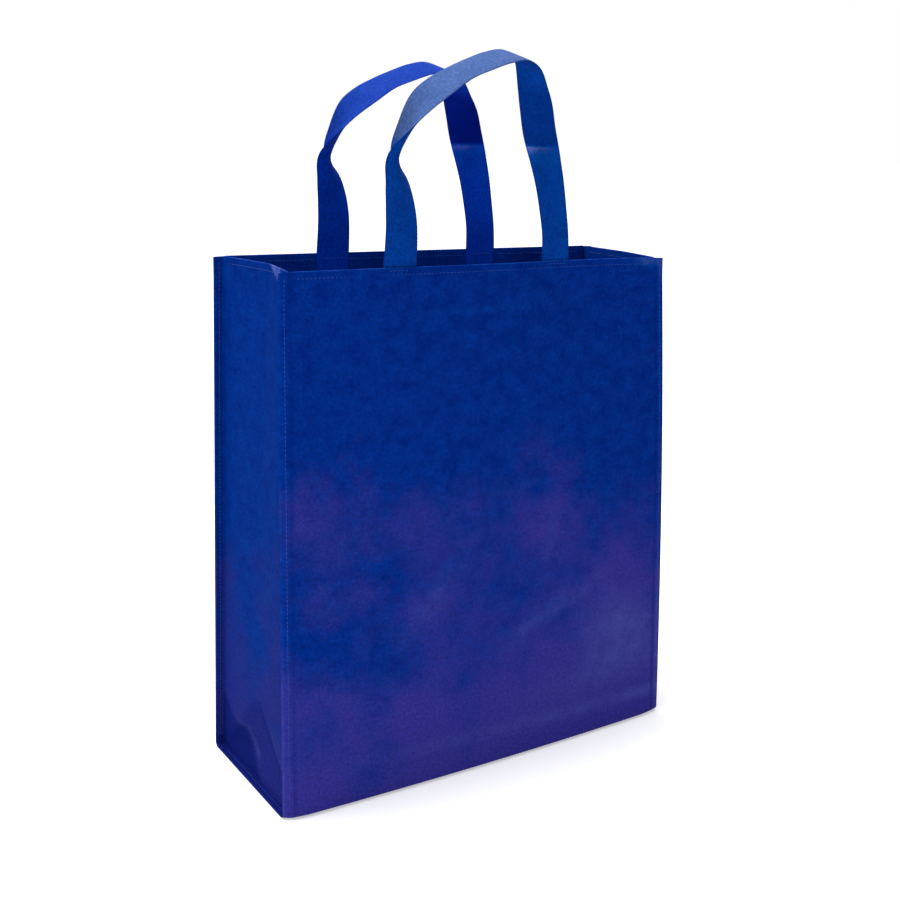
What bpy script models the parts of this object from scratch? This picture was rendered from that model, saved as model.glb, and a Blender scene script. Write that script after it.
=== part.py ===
"""Non-woven shopping bag, standing open and empty.

One strip of fabric makes the front, the base and the back, with both ends turned in as hems.
A gusset closes each side: its margins turn outward and lie against the strip's edge, as the
flange of an outside seam. Two flat tapes, sewn to the insides of the hems, are the handles.
Metres, +X to the right, +Y to the back, +Z up, with the origin under the middle of the base.
"""

import math

import bmesh
import bpy
import numpy as np

# Bag
BAG_WIDTH = 0.350
BAG_DEPTH = 0.120
BAG_HEIGHT = 0.400
FABRIC = 0.0005
LAYER_GAP = 0.0003
HEM_HEIGHT = 0.033
FLANGE_WIDTH = 0.0075
FOOT_RADIUS = 0.004
STRIP_HEM_TRIM = 0.0015
GUSSET_HEM_TRIM = 0.0025
CORNER_SPREAD = 0.020

# Handles
TAPE_WIDTH = 0.028
TAPE_THICKNESS = 0.0012
TAPE_SEWN_LENGTH = 0.030
LEG_SPACING = {-1: 0.144, 1: 0.136}
HANDLE_SHIFT = {-1: -0.0065, 1: -0.0105}
LOOP_HEIGHT = {-1: 0.149, 1: 0.145}

# Soft shape
FOOT_BULGE = 0.004
FOOT_BULGE_HEIGHT = 0.240
LEDGE_DEPTH = 0.0022
LEDGE_HEIGHT = 0.028
LEDGE_SLOPE = 0.004
LEDGE_SOFTNESS = 0.018
TOP_DENT = 0.005
TOP_DENT_MIDDLE = 0.55
TOP_DENT_REACH = 0.6
TOP_DENT_HEIGHT = 0.140
SIDE_BOW = 0.0025
FOLD_PLACE = -0.08
FOLD_SOFTNESS = 0.10
FOLD_DEPTH = {-1: -0.009, 1: 0.004}
FLANGE_LEAN_TURN = 0.004
FLANGE_LEAN_FADE = 0.016
GUSSET_BULGE = 0.003
BULGE_START = 0.080
BULGE_END = 0.120
GUSSET_TUCK = 0.006
TUCK_HEIGHT = 0.078
TUCK_PEAK = -0.14
TUCK_SOFTNESS = 0.030
TUCK_FOOT = 0.024
CREASE_DEPTH = 0.0012

# The front's soft diagonal creases: two ends, as shares of the half width and of the height,
# and half the crease's width in metres
CREASES = (
    ((0.17, 0.28), (0.48, 0.33), 0.010),
    ((0.30, 0.40), (0.35, 0.51), 0.009),
    ((0.62, 0.34), (0.86, 0.19), 0.014),
    ((-0.46, 0.295), (-0.10, 0.48), 0.014),
)

# How far each corner stands from the plain box, at the foot and at the top: (x, y) pairs, as
# shares of the half depth
CORNER_LEAN = {
    (-1, -1): ((-0.05, -0.12), (0.02, 0.03)),
    (1, -1): ((0.14, -0.09), (-0.15, 0.12)),
    (-1, 1): ((-0.08, 0.11), (0.03, 0.02)),
    (1, 1): ((0.10, 0.07), (0.07, -0.03)),
}

# How much each flange leans towards the middle of its gusset, as a slope
FLANGE_LEAN = {(-1, -1): 0.60, (1, -1): 0.10, (-1, 1): 0.10, (1, 1): 0.20}

# Worked out from the sizes: the middle of each layer of fabric
LAYER_STEP = FABRIC + LAYER_GAP
HALF_WIDTH = BAG_WIDTH / 2
HALF_DEPTH = BAG_DEPTH / 2
SEAM_X = HALF_WIDTH - FLANGE_WIDTH
WALL_Y = HALF_DEPTH - FABRIC / 2
FLOOR_Z = FABRIC / 2
HEM_TURN = LAYER_STEP / 2
FOLD_Z = BAG_HEIGHT - FABRIC / 2 - HEM_TURN
FOOT_Z = FLOOR_Z + FOOT_RADIUS
HEM_EDGE_Z = BAG_HEIGHT - HEM_HEIGHT

# Rows and columns of the sheets
HEM_ROWS = 2
FOLD_STEPS = 4
UPPER_ROWS = 11
LOWER_ROWS = 8
LOWER_HEIGHT = 0.085
ARC_STEPS = 4
BASE_COLUMNS = 8
PANEL_COLUMNS = 22
TAPE_ROWS = 56
TAPE_COLUMNS = 5

FABRIC_COLOUR = (0.003, 0.025, 0.220, 1.0)
TAPE_COLOUR = (0.006, 0.045, 0.260, 1.0)


def smooth_step(value):
    """0 below 0, 1 above 1, and a smooth rise between."""
    value = min(max(value, 0.0), 1.0)
    return value * value * (3 - 2 * value)


def bump(distance):
    """1 at 0, falling smoothly to 0 at a distance of 1."""
    return smooth_step(1 - abs(distance))


def lean_shift(past):
    """How far a leaning flange has moved: its slope grows evenly over the turn, then holds."""
    past = max(past, 0.0)
    if past < FLANGE_LEAN_TURN:
        return past * past / (2 * FLANGE_LEAN_TURN)
    return past - FLANGE_LEAN_TURN / 2


def settle(point):
    """The soft standing shape. Every piece goes through it, so sewn layers stay together."""
    x, y, z = point
    across = x / HALF_WIDTH
    deep = y / HALF_DEPTH
    height = min(z, BAG_HEIGHT)
    rise = height / BAG_HEIGHT
    shift_x = SIDE_BOW * (1 + across) * 2 * rise * (1 - rise)
    shift_y = 0.0
    for (side, face), (foot, top) in CORNER_LEAN.items():
        share = (1 + side * across) * (1 + face * deep) / 4
        shift_x += share * HALF_DEPTH * (foot[0] + (top[0] - foot[0]) * rise)
        shift_y += share * HALF_DEPTH * (foot[1] + (top[1] - foot[1]) * rise)
        if side * x > 0:
            near = (1 + face * deep) / 2 * smooth_step((BAG_HEIGHT - height) / FLANGE_LEAN_FADE)
            shift_y -= face * FLANGE_LEAN[side, face] * near * lean_shift(abs(x) - SEAM_X)
    middle = max(0.0, 1 - across * across)
    foot_bulge = FOOT_BULGE * middle * smooth_step(1 - height / FOOT_BULGE_HEIGHT)
    below_ledge = (LEDGE_HEIGHT - LEDGE_SLOPE * across - height) / LEDGE_SOFTNESS
    ledge = LEDGE_DEPTH * smooth_step(below_ledge + 0.5) * min(1.0, middle * 5)
    dent = TOP_DENT * bump((across - TOP_DENT_MIDDLE) / TOP_DENT_REACH)
    dent *= smooth_step(1 - (BAG_HEIGHT - height) / TOP_DENT_HEIGHT)
    front_push = -(foot_bulge + ledge) + dent
    back_push = foot_bulge + ledge
    shift_y += front_push * (1 - deep) / 2 + back_push * (1 + deep) / 2
    return (x + shift_x, y + shift_y, z)


def front_crease(x, z):
    """How far the front panel stands out along its soft diagonal creases."""
    push = 0.0
    for start, end, half_width in CREASES:
        from_x = x - start[0] * HALF_WIDTH
        from_z = z - start[1] * BAG_HEIGHT
        run_x = (end[0] - start[0]) * HALF_WIDTH
        run_z = (end[1] - start[1]) * BAG_HEIGHT
        run = math.hypot(run_x, run_z)
        along = (from_x * run_x + from_z * run_z) / run
        aside = (from_x * run_z - from_z * run_x) / run
        push += CREASE_DEPTH * bump(aside / half_width) * bump((along - run / 2) / run)
    return push


def gusset_push(y, z, side):
    """How far a gusset stands out between its seams: its middle fold, a low belly, and a tuck
    above the base whose two creases run from a peak down to the bottom corners."""
    deep = y / HALF_DEPTH
    run = (deep - FOLD_PLACE) / ((1 if deep > FOLD_PLACE else -1) - FOLD_PLACE)
    tent = 1 - (math.hypot(run, FOLD_SOFTNESS) - FOLD_SOFTNESS) / (math.hypot(1, FOLD_SOFTNESS) - FOLD_SOFTNESS)
    above_tuck = smooth_step((z - TUCK_HEIGHT / 2) / (BAG_HEIGHT - TUCK_HEIGHT / 2))
    fold = FOLD_DEPTH[side] * tent * (0.25 + 0.75 * above_tuck) * smooth_step(z / TUCK_HEIGHT)
    middle = max(0.0, 1 - deep * deep)
    belly = GUSSET_BULGE * middle * smooth_step(z / BULGE_START)
    belly *= smooth_step((BAG_HEIGHT - z) / BULGE_END)
    run = (deep - TUCK_PEAK) / ((1 if deep > TUCK_PEAK else -1) - TUCK_PEAK)
    crease_z = TUCK_HEIGHT * (1 - run)
    tuck = GUSSET_TUCK * smooth_step((crease_z - z) / TUCK_SOFTNESS + 0.4)
    tuck *= smooth_step(z / TUCK_FOOT)
    return fold + belly - tuck * min(1.0, middle * 3)


def heights():
    """Heights of a wall's rows, from the fold along the top down to the foot's curve."""
    hem = np.linspace(FOLD_Z, HEM_EDGE_Z, HEM_ROWS + 1)
    upper = np.linspace(HEM_EDGE_Z, LOWER_HEIGHT, UPPER_ROWS + 1)[1:]
    lower = np.linspace(LOWER_HEIGHT, FOOT_Z, LOWER_ROWS + 1)[1:]
    return [float(z) for z in (*hem, *upper, *lower)]


def foot_arc(inset, first, last):
    """Points on the front foot's curve, from step first to step last, as (y, z)."""
    radius = FOOT_RADIUS - inset
    points = []
    for step in range(first, last + 1):
        turn = math.pi / 2 * step / ARC_STEPS
        y = -(WALL_Y - FOOT_RADIUS) - radius * math.cos(turn)
        points.append((y, FOOT_Z - radius * math.sin(turn)))
    return points


def base_line(inset):
    """Points across the base between the two foot curves, as (y, z)."""
    reach = WALL_Y - FOOT_RADIUS
    return [(float(y), FLOOR_Z + inset) for y in np.linspace(-reach, reach, BASE_COLUMNS + 1)]


def top_fold(wall):
    """Points over the fold along the top, from a wall at depth wall to the layer inside it."""
    inward = -math.copysign(1.0, wall)
    axis = wall + inward * HEM_TURN
    points = []
    for step in range(1, FOLD_STEPS):
        turn = math.pi * step / FOLD_STEPS
        points.append((axis - inward * HEM_TURN * math.cos(turn), FOLD_Z + HEM_TURN * math.sin(turn)))
    return points


def strip_section():
    """The strip's section as (y, z, is_hem) points: front hem, front, base, back, back hem."""
    rows = heights()
    hem_rows = rows[:HEM_ROWS + 1]
    inner = -(WALL_Y - LAYER_STEP)
    half = [(inner, z, True) for z in reversed(hem_rows)]
    half += [(y, z, True) for y, z in reversed(top_fold(-WALL_Y))]
    half += [(-WALL_Y, z, False) for z in rows]
    half += [(y, z, False) for y, z in foot_arc(0.0, 1, ARC_STEPS)]
    base = [(y, z, False) for y, z in base_line(0.0)[1:-1]]
    return half + base + [(-y, z, hem) for y, z, hem in reversed(half)]


def new_material(name, colour):
    material = bpy.data.materials.new(name)
    material.use_nodes = True
    shader = material.node_tree.nodes["Principled BSDF"]
    shader.inputs["Base Color"].default_value = colour
    shader.inputs["Roughness"].default_value = 0.75
    shader.inputs["Metallic"].default_value = 0.0
    return material


def grid_mesh(columns, rows, place):
    """A grid of quads whose point in column i and row j is place(i, j)."""
    bm = bmesh.new()
    bmesh.ops.create_grid(bm, x_segments=columns - 1, y_segments=rows - 1, size=0.5)
    cells = {}
    for vertex in bm.verts:
        column = round((vertex.co.x + 0.5) * (columns - 1))
        row = round((vertex.co.y + 0.5) * (rows - 1))
        cells[vertex] = (column, row)
    for vertex, (column, row) in cells.items():
        vertex.co = place(column, row)
    return bm, cells


def sheet_object(name, bm, thickness, material, collection):
    """Finish a sheet: the soft shape, the mesh, and the thickness of its fabric."""
    for vertex in bm.verts:
        vertex.co = settle(vertex.co)
    mesh = bpy.data.meshes.new(name)
    bm.to_mesh(mesh)
    bm.free()
    mesh.shade_smooth()
    mesh.materials.append(material)
    piece = bpy.data.objects.new(name, mesh)
    collection.objects.link(piece)
    solidify = piece.modifiers.new("Fabric thickness", "SOLIDIFY")
    solidify.thickness = thickness
    solidify.offset = 0.0
    solidify.use_even_offset = True
    return piece


def make_body_panel(material, collection):
    """Front, base and back in one strip, with its hems turned in."""
    section = strip_section()
    inner_columns = np.linspace(-SEAM_X, SEAM_X, PANEL_COLUMNS + 1)
    wall_columns = [-HALF_WIDTH, *inner_columns, HALF_WIDTH]
    hem_reach = SEAM_X - STRIP_HEM_TRIM
    hem_columns = [-hem_reach, -hem_reach + STRIP_HEM_TRIM, *inner_columns[1:-1],
                   hem_reach - STRIP_HEM_TRIM, hem_reach]

    def place(column, row):
        y, z, is_hem = section[row]
        x = float((hem_columns if is_hem else wall_columns)[column])
        share = -min(0.0, y / WALL_Y) if z > FOOT_Z else 0.0
        return (x, y - share * front_crease(x, z), z)

    bm, _ = grid_mesh(len(wall_columns), len(section), place)
    return sheet_object("body_panel", bm, FABRIC, material, collection)


def make_gusset(name, side, material, collection):
    """One side wall, its hem, and the margins that turn outward along three edges."""
    half_arc = ARC_STEPS // 2
    rows = heights()
    reach_y = WALL_Y - LAYER_STEP
    edge = [(reach_y, z) for z in rows]
    edge += [(-y, z) for y, z in foot_arc(LAYER_STEP, 1, half_arc)]
    arc = foot_arc(LAYER_STEP, half_arc, ARC_STEPS)
    bottom = arc + base_line(LAYER_STEP)[1:-1] + [(-y, z) for y, z in reversed(arc)]
    columns = len(bottom)
    hem_rows = rows[:HEM_ROWS + 1]
    hem_reach = reach_y - GUSSET_HEM_TRIM
    inner_x = SEAM_X - LAYER_STEP
    fold = []
    for step in range(1, FOLD_STEPS):
        turn = math.pi * step / FOLD_STEPS
        fold.append((inner_x + HEM_TURN - HEM_TURN * math.cos(turn), FOLD_Z + HEM_TURN * math.sin(turn)))
    hem = [(inner_x, z) for z in reversed(hem_rows)] + fold
    first_wall_row = len(hem)
    corner_y, corner_z = bottom[0]

    def place(column, row):
        even = -1 + 2 * column / (columns - 1)
        if row < first_wall_row:
            x, z = hem[row]
            x += gusset_push(HALF_DEPTH * even, z, side)
            return (side * x, hem_reach * even, z)
        half_depth, z = edge[row - first_wall_row]
        low = smooth_step(1 - (z - corner_z) / CORNER_SPREAD)
        across = even + (bottom[column][0] / -corner_y - even) * low
        near_foot = max(0.0, 1 - (z - corner_z) / FOOT_RADIUS)
        z += (bottom[column][1] - corner_z) * near_foot
        y = half_depth * across
        x = SEAM_X + gusset_push(y * HALF_DEPTH / half_depth, z, side)
        if column in (0, columns - 1) or row == last_row:
            x = SEAM_X
        return (side * x, y, z)

    last_row = first_wall_row + len(edge) - 1
    bm, cells = grid_mesh(columns, last_row + 1, place)

    def on_seam(vertex):
        column, row = cells[vertex]
        return row >= first_wall_row and (column in (0, columns - 1) or row == last_row)

    seam = [e for e in bm.edges if e.is_boundary and all(on_seam(v) for v in e.verts)]
    margin = bmesh.ops.extrude_edge_only(bm, edges=seam)["geom"]
    for vertex in margin:
        if isinstance(vertex, bmesh.types.BMVert):
            vertex.co.x = side * HALF_WIDTH
    return sheet_object(name, bm, FABRIC, material, collection)


def smooth_route(stations, rows):
    """A smooth curve through the stations (Catmull-Rom), with rows points at even steps."""
    points = np.array(stations, dtype=float)
    padded = np.vstack([2 * points[0] - points[1], points, 2 * points[-1] - points[-2]])
    dense = []
    for index in range(len(points) - 1):
        a, b, c, d = padded[index:index + 4]
        for t in np.linspace(0, 1, 24, endpoint=False):
            dense.append(0.5 * (2 * b + (c - a) * t + (2 * a - 5 * b + 4 * c - d) * t ** 2
                                + (3 * b - a - 3 * c + d) * t ** 3))
    dense.append(points[-1])
    dense = np.array(dense)
    steps = np.linalg.norm(np.diff(dense[:, :3], axis=0), axis=1)
    run = np.concatenate([[0.0], np.cumsum(steps)])
    even = np.linspace(0, run[-1], rows)
    return np.stack([np.interp(even, run, dense[:, k]) for k in range(dense.shape[1])], axis=1)


# A slanted ruling is longer than the tape is wide, by one over this at the most
LEAST_SQUARE = 0.6

# The loop's route. x is a share of half the leg spacing, y is a lean as a share of the loop's
# height, and z is a share of the loop's height. Then which way the tape's width lies: its turn in
# plan, in degrees from +X, and its slope in degrees. Last, how deep the tape is cupped, as a share
# of its width.
LOOP_STATIONS = (
    (-1.00, 0.00, 0.00, 0, 0, 0.00),
    (-1.00, -0.01, 0.10, 3, 0, 0.00),
    (-1.00, -0.01, 0.20, 7, 3, 0.00),
    (-1.01, 0.00, 0.30, 15, 10, 0.03),
    (-1.05, -0.01, 0.40, 28, 10, 0.12),
    (-1.10, -0.01, 0.51, 55, 8, 0.26),
    (-1.03, -0.07, 0.63, 78, 16, 0.20),
    (-0.91, -0.11, 0.74, 96, 23, 0.08),
    (-0.71, -0.12, 0.82, 107, 20, 0.00),
    (-0.47, -0.10, 0.88, 108, 15, 0.00),
    (-0.21, -0.07, 0.925, 109, 16, 0.00),
    (0.06, -0.04, 0.965, 110, 17, 0.00),
    (0.34, 0.00, 0.985, 110, 17, 0.00),
    (0.57, 0.05, 0.95, 112, 14, 0.00),
    (0.72, 0.10, 0.85, 125, 6, 0.00),
    (0.86, 0.16, 0.75, 139, -7, 0.00),
    (0.94, 0.18, 0.64, 153, -12, 0.00),
    (0.96, 0.13, 0.52, 166, -8, 0.00),
    (0.98, 0.08, 0.39, 175, -3, 0.00),
    (0.99, 0.04, 0.26, 180, -1, 0.00),
    (1.00, 0.01, 0.13, 182, 0, 0.00),
    (1.00, 0.00, 0.00, 180, 0, 0.00),
)


def make_handle(name, face, material, collection):
    """One tape: a sewn end, up and over the loop, and down to the other sewn end."""
    depth = face * (WALL_Y - LAYER_STEP - FABRIC / 2 - LAYER_GAP - TAPE_THICKNESS / 2)
    half_spacing = LEG_SPACING[face] / 2
    middle = HANDLE_SHIFT[face]
    height = LOOP_HEIGHT[face]
    loop = []
    for x, lean, z, turn, slope, cup in LOOP_STATIONS:
        loop.append((middle + x * half_spacing, depth + lean * height, BAG_HEIGHT + z * height,
                     turn, slope, cup))
    end_z = BAG_HEIGHT - TAPE_SEWN_LENGTH
    left_end = (middle - half_spacing, depth, end_z, 0, 0, 0)
    right_end = (middle + half_spacing, depth, end_z, 180, 0, 0)
    left_mid = (middle - half_spacing, depth, (end_z + BAG_HEIGHT) / 2, 0, 0, 0)
    right_mid = (middle + half_spacing, depth, (end_z + BAG_HEIGHT) / 2, 180, 0, 0)
    route = smooth_route([left_end, left_mid, *loop, right_mid, right_end], TAPE_ROWS)
    centre = route[:, :3]
    tangent = np.gradient(centre, axis=0)
    tangent /= np.linalg.norm(tangent, axis=1)[:, None]
    turn = np.radians(route[:, 3])
    slope = np.radians(route[:, 4])
    ruling = np.stack([np.cos(turn) * np.cos(slope), np.sin(turn) * np.cos(slope), np.sin(slope)], axis=1)
    normal = np.cross(ruling, tangent)
    square = np.linalg.norm(normal, axis=1)
    normal /= square[:, None]
    cup = route[:, 5]
    narrowed = (1 - cup * cup * 8 / 3) / np.maximum(square, LEAST_SQUARE)
    half = ruling * (TAPE_WIDTH / 2 * narrowed)[:, None]
    bow = normal * (TAPE_WIDTH * cup)[:, None]

    def place(column, row):
        share = -1 + 2 * column / (TAPE_COLUMNS - 1)
        return centre[row] + half[row] * share + bow[row] * (0.5 - share * share)

    bm, _ = grid_mesh(TAPE_COLUMNS, TAPE_ROWS, place)
    return sheet_object(name, bm, TAPE_THICKNESS, material, collection)


def main():
    for old in list(bpy.data.objects):
        bpy.data.objects.remove(old)
    bag = bpy.data.collections.new("Non-woven shopping bag")
    bpy.context.scene.collection.children.link(bag)
    fabric = new_material("Blue fabric", FABRIC_COLOUR)
    tape = new_material("Blue tape", TAPE_COLOUR)
    make_body_panel(fabric, bag)
    make_gusset("left_gusset", -1, fabric, bag)
    make_gusset("right_gusset", 1, fabric, bag)
    make_handle("front_handle", -1, tape, bag)
    make_handle("back_handle", 1, tape, bag)


main()
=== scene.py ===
"""Looks of the non-woven shopping bag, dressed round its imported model.

Every sheet is worked out flat first, as on a plain upright box, and settle() then gives all of
them the same soft standing shape, so that layers sewn together stay together. Metres, +X to the
right, +Y to the back, +Z up, with the origin under the middle of the base. A side is -1 for the
left and 1 for the right, and a face is -1 for the front and 1 for the back.
"""

import bpy
import numpy as np
from mathutils import Matrix


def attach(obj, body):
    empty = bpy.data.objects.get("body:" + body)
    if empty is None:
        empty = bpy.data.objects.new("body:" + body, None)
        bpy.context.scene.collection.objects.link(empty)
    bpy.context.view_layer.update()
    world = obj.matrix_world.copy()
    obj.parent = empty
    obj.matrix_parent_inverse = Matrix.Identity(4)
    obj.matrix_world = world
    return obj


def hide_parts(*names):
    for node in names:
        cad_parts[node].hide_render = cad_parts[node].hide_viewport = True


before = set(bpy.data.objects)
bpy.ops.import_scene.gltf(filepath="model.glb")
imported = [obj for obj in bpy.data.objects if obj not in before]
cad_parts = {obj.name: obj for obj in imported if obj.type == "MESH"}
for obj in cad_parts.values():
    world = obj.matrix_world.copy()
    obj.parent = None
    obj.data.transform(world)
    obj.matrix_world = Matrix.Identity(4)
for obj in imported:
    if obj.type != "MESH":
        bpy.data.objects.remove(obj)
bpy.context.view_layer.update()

# Bag
BAG_WIDTH = 0.350
BAG_DEPTH = 0.120
BAG_HEIGHT = 0.400
FABRIC = 0.0005
LAYER_GAP = 0.0003
HEM_HEIGHT = 0.033
FLANGE_WIDTH = 0.0075
FOOT_RADIUS = 0.004
STRIP_HEM_TRIM = 0.0015
GUSSET_HEM_TRIM = 0.0025
CORNER_SPREAD = 0.020

# Handles
TAPE_WIDTH = 0.028
TAPE_THICKNESS = 0.0012
TAPE_SEWN_LENGTH = 0.030
LEG_SPACING = {-1: 0.144, 1: 0.136}
HANDLE_SHIFT = {-1: -0.0065, 1: -0.0105}
LOOP_HEIGHT = {-1: 0.149, 1: 0.145}
LEAST_SQUARE = 0.6

# Soft shape
FOOT_BULGE = 0.004
FOOT_BULGE_HEIGHT = 0.240
LEDGE_DEPTH = 0.0022
LEDGE_HEIGHT = 0.028
LEDGE_SLOPE = 0.004
LEDGE_SOFTNESS = 0.018
LEDGE_FULL = 5
TOP_DENT = 0.005
TOP_DENT_MIDDLE = 0.55
TOP_DENT_REACH = 0.6
TOP_DENT_HEIGHT = 0.140
SIDE_BOW = 0.0025
FOLD_PLACE = -0.08
FOLD_SOFTNESS = 0.10
FOLD_DEPTH = {-1: -0.009, 1: 0.004}
FOLD_AT_FOOT = 0.25
GUSSET_BULGE = 0.003
BULGE_START = 0.080
BULGE_END = 0.120
GUSSET_TUCK = 0.006
TUCK_HEIGHT = 0.068
TUCK_PEAK = -0.05
TUCK_SOFTNESS = 0.012
TUCK_LEAD = 0.4
TUCK_FOOT = 0.024
TUCK_FULL = 3
FLANGE_LEAN_TURN = 0.004
FLANGE_LEAN_FADE = 0.016

# Relief of the cloth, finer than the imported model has
CREASE_DEPTH = 0.0012
HEM_RIDGE = 0.0007
HEM_RIDGE_REACH = 0.0055
HEM_STEP_REACH = 0.004
CLEAR_OF_FOOT = 0.014
CLEAR_OF_FOLD = 0.010
WAVE_DEPTH = 0.0006
WAVE_PHASE = {-1: 0.7, 1: 2.9}
GUSSET_WAVE_PHASE = 1.7
GUSSET_WAVE_START = 0.05
PUCKER_DEPTH = 0.00022
PUCKER_LENGTH = 0.0135
PUCKER_REACH = 0.006
PUCKER_DRIFT = 0.071
PUCKER_UNEVEN = 1.4

# A hanging panel's slow waves: each one's length, its direction in radians, and its share
PANEL_WAVES = ((0.130, 0.3, 0.40), (0.083, 1.9, 0.28), (0.061, 2.6, 0.18), (0.050, 1.2, 0.12))

# How finely the sheets are divided, and how far from a seam the strip's hems start to narrow
STRIP_COLUMN = 0.0031
STRIP_MARGIN = 0.0019
STRIP_BASE = 0.004
GUSSET_COLUMN = 0.0028
GUSSET_MARGIN = 0.0015
TOP_FOLD_ROWS = 5
TAPE_ROWS = 280
TAPE_COLUMNS = 15
LEAST_STEP = 1e-6
HEM_TAPER = 0.010

# Sewing
STITCH_PITCH = 0.0032
STITCH_LENGTH = 0.0025
THREAD_RADIUS = 0.00020
HEM_SEAM_DROP = 0.0050
HEM_SEAM_END = {"strip": 0.004, "gusset": 0.006}
FLANGE_SEAM_INSET = 0.0040
FLANGE_SEAM_TOP = 0.003
FLANGE_SEAM_FOOT = 0.002
BASE_SEAM_END = 0.050
HANDLE_SEAM_REACH = 0.0115
HANDLE_SEAM_DROP = {"outside": 0.0022, "inside top": 0.0040, "inside low": 0.0260}

# Wear and painted light, from -1 for the deepest painted shade to 1 for cloth rubbed pale or a
# painted highlight. A pair says where a change starts or ends, and over how far it grows or fades
# Pale wear and a painted highlight along the top edge
RIM_WEAR_AND_HIGHLIGHT = 0.5
RIM_PALE_REACH = 0.0006
EDGE_WEAR = 0.20
EDGE_WEAR_REACH = 0.0012
CREASE_WEAR = 0.14
# A painted highlight along the ledge above the base
LEDGE_HIGHLIGHT = 0.12
LEDGE_HIGHLIGHT_REACH = 0.009
# Painted shade in the valleys beside the seams
VALLEY_SHADE = 0.35
VALLEY_REACH = 0.0026
# Paler at the top right corner of the front
FRONT_CORNER_PALE = 0.40
FRONT_CORNER_X = (0.128, 0.030)
FRONT_CORNER_Z = (0.388, 0.009)
# Paler on the front's right margin, more so near the top
MARGIN_TURN = 0.004
MARGIN_PALE = 0.16
MARGIN_TOP_PALE = 0.30
MARGIN_TOP_Z = (0.372, 0.024)
# Painted shade on the left side's bottom margin
FOOT_MARGIN_SHADE = 0.60
FOOT_MARGIN_Z = (0.012, 0.008)

# The left side's painted highlight at its corner, where its rim turns to the front. The start counts
# shares of the half depth towards the front, and the end counts them towards the back. The drop is
# how much further down the corner reaches for each share from its start, up to SIDE_CORNER_SHARE
SIDE_CORNER_HIGHLIGHT = 0.9
SIDE_CORNER_START = (0.06, 0.10)
SIDE_CORNER_END = (-0.74, 0.22)
SIDE_CORNER_DROP = 0.024
SIDE_CORNER_SHARE = 0.44
SIDE_CORNER_ABOVE = 0.0005
SIDE_CORNER_EDGE = 0.002

# The painted shade inside the left side's tuck. The tuck's front fold climbs towards the back, over
# TUCK_CLIMB shares of the half depth for each metre of height, and a painted highlight along a
# ridge lies over the shade at the foot
TUCK_CLIMB = 19.6
TUCK_FOLD = (-1.14, 0.10)
TUCK_BESIDE = (0.70, 0.40)
TUCK_SHADE = 0.68
TUCK_SHADE_TOP = (0.060, 0.020)
TUCK_BELOW_EDGE = 0.005
TUCK_LIT = 0.10
TUCK_RIDGE_HIGHLIGHT = 0.20
TUCK_RIDGE_HEIGHT = 0.014
TUCK_RIDGE_SLOPE = 0.042
TUCK_RIDGE_MIDDLE = 0.13
TUCK_RIDGE_RISE = 0.003
TUCK_RIDGE_REACH = 0.006
TUCK_RIDGE_START = (-0.05, 0.15)
TUCK_RIDGE_END = (0.66, 0.25)

# The fold line across each tape's right leg, at a height above the rim, with a painted highlight
# below it and painted shade above it, both as runs down the tape. Then the painted shade at the
# tape's edges, as shares of its half width, and where the arch, with its painted light, starts and
# ends, as runs from the tape's left end
LEG_FOLD_HEIGHT = 0.088
LEG_FOLD_SLANT = 0.0028
LEG_FOLD_EDGE = 0.0012
LEG_FOLD_REACH = 0.009
LEG_FOLD_HIGHLIGHT = 0.8
LEG_FOLD_EVEN = 0.7
LEG_SHADE = {-1: 0.35, 1: 0.8}
LEG_SHADE_START = (-0.062, 0.020)
TAPE_EDGE_SHADE = 0.35
TAPE_EDGE = (0.90, 0.06)
ARCH_START = (0.105, 0.020)
ARCH_END = (0.330, 0.030)
TAPE_BACK_SHIFT = 0.05

# How far each corner stands from the plain box, at the foot and at the top: (x, y) pairs, as
# shares of the half depth
CORNER_LEAN = {
    (-1, -1): ((-0.05, -0.12), (0.02, 0.03)),
    (1, -1): ((0.14, -0.09), (-0.15, 0.12)),
    (-1, 1): ((-0.08, 0.11), (0.03, 0.02)),
    (1, 1): ((0.10, 0.07), (0.07, -0.03)),
}

# How much each flange leans towards the middle of its gusset, as a slope
FLANGE_LEAN = {(-1, -1): 0.60, (1, -1): 0.10, (-1, 1): 0.10, (1, 1): 0.20}

# The front's soft diagonal creases: two ends, as shares of the half width and of the height,
# half the crease's width in metres, and how strong it is
CREASES = (
    ((0.12, 0.265), (0.52, 0.335), 0.013, 1.5),
    ((0.29, 0.39), (0.35, 0.51), 0.010, 0.7),
    ((0.62, 0.34), (0.86, 0.19), 0.015, 0.7),
    ((-0.46, 0.295), (-0.10, 0.48), 0.016, 0.8),
    ((0.30, 0.12), (1.05, 0.14), 0.030, 0.9),
)

# Where the front's painted reflection of the floor, which turns it violet, starts sooner or later
# than its height alone says: the middle's x and z, how far it reaches in x and z, and how much
FLOOR_REFLECTION_PATCHES = (
    (-0.145, 0.245, 0.065, 0.050, 0.50),
    (-0.040, 0.210, 0.090, 0.060, 0.38),
    (0.060, 0.205, 0.100, 0.045, 0.30),
    (-0.120, 0.125, 0.080, 0.050, -0.25),
    (0.120, 0.120, 0.080, 0.060, 0.25),
)

# Worked out from the sizes: the middle of each layer of fabric
LAYER_STEP = FABRIC + LAYER_GAP
HALF_WIDTH = BAG_WIDTH / 2
HALF_DEPTH = BAG_DEPTH / 2
SEAM_X = HALF_WIDTH - FLANGE_WIDTH
WALL_Y = HALF_DEPTH - FABRIC / 2
FLOOR_Z = FABRIC / 2
HEM_TURN = LAYER_STEP / 2
FOLD_Z = BAG_HEIGHT - FABRIC / 2 - HEM_TURN
FOOT_Z = FLOOR_Z + FOOT_RADIUS
HEM_EDGE_Z = BAG_HEIGHT - HEM_HEIGHT

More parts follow.
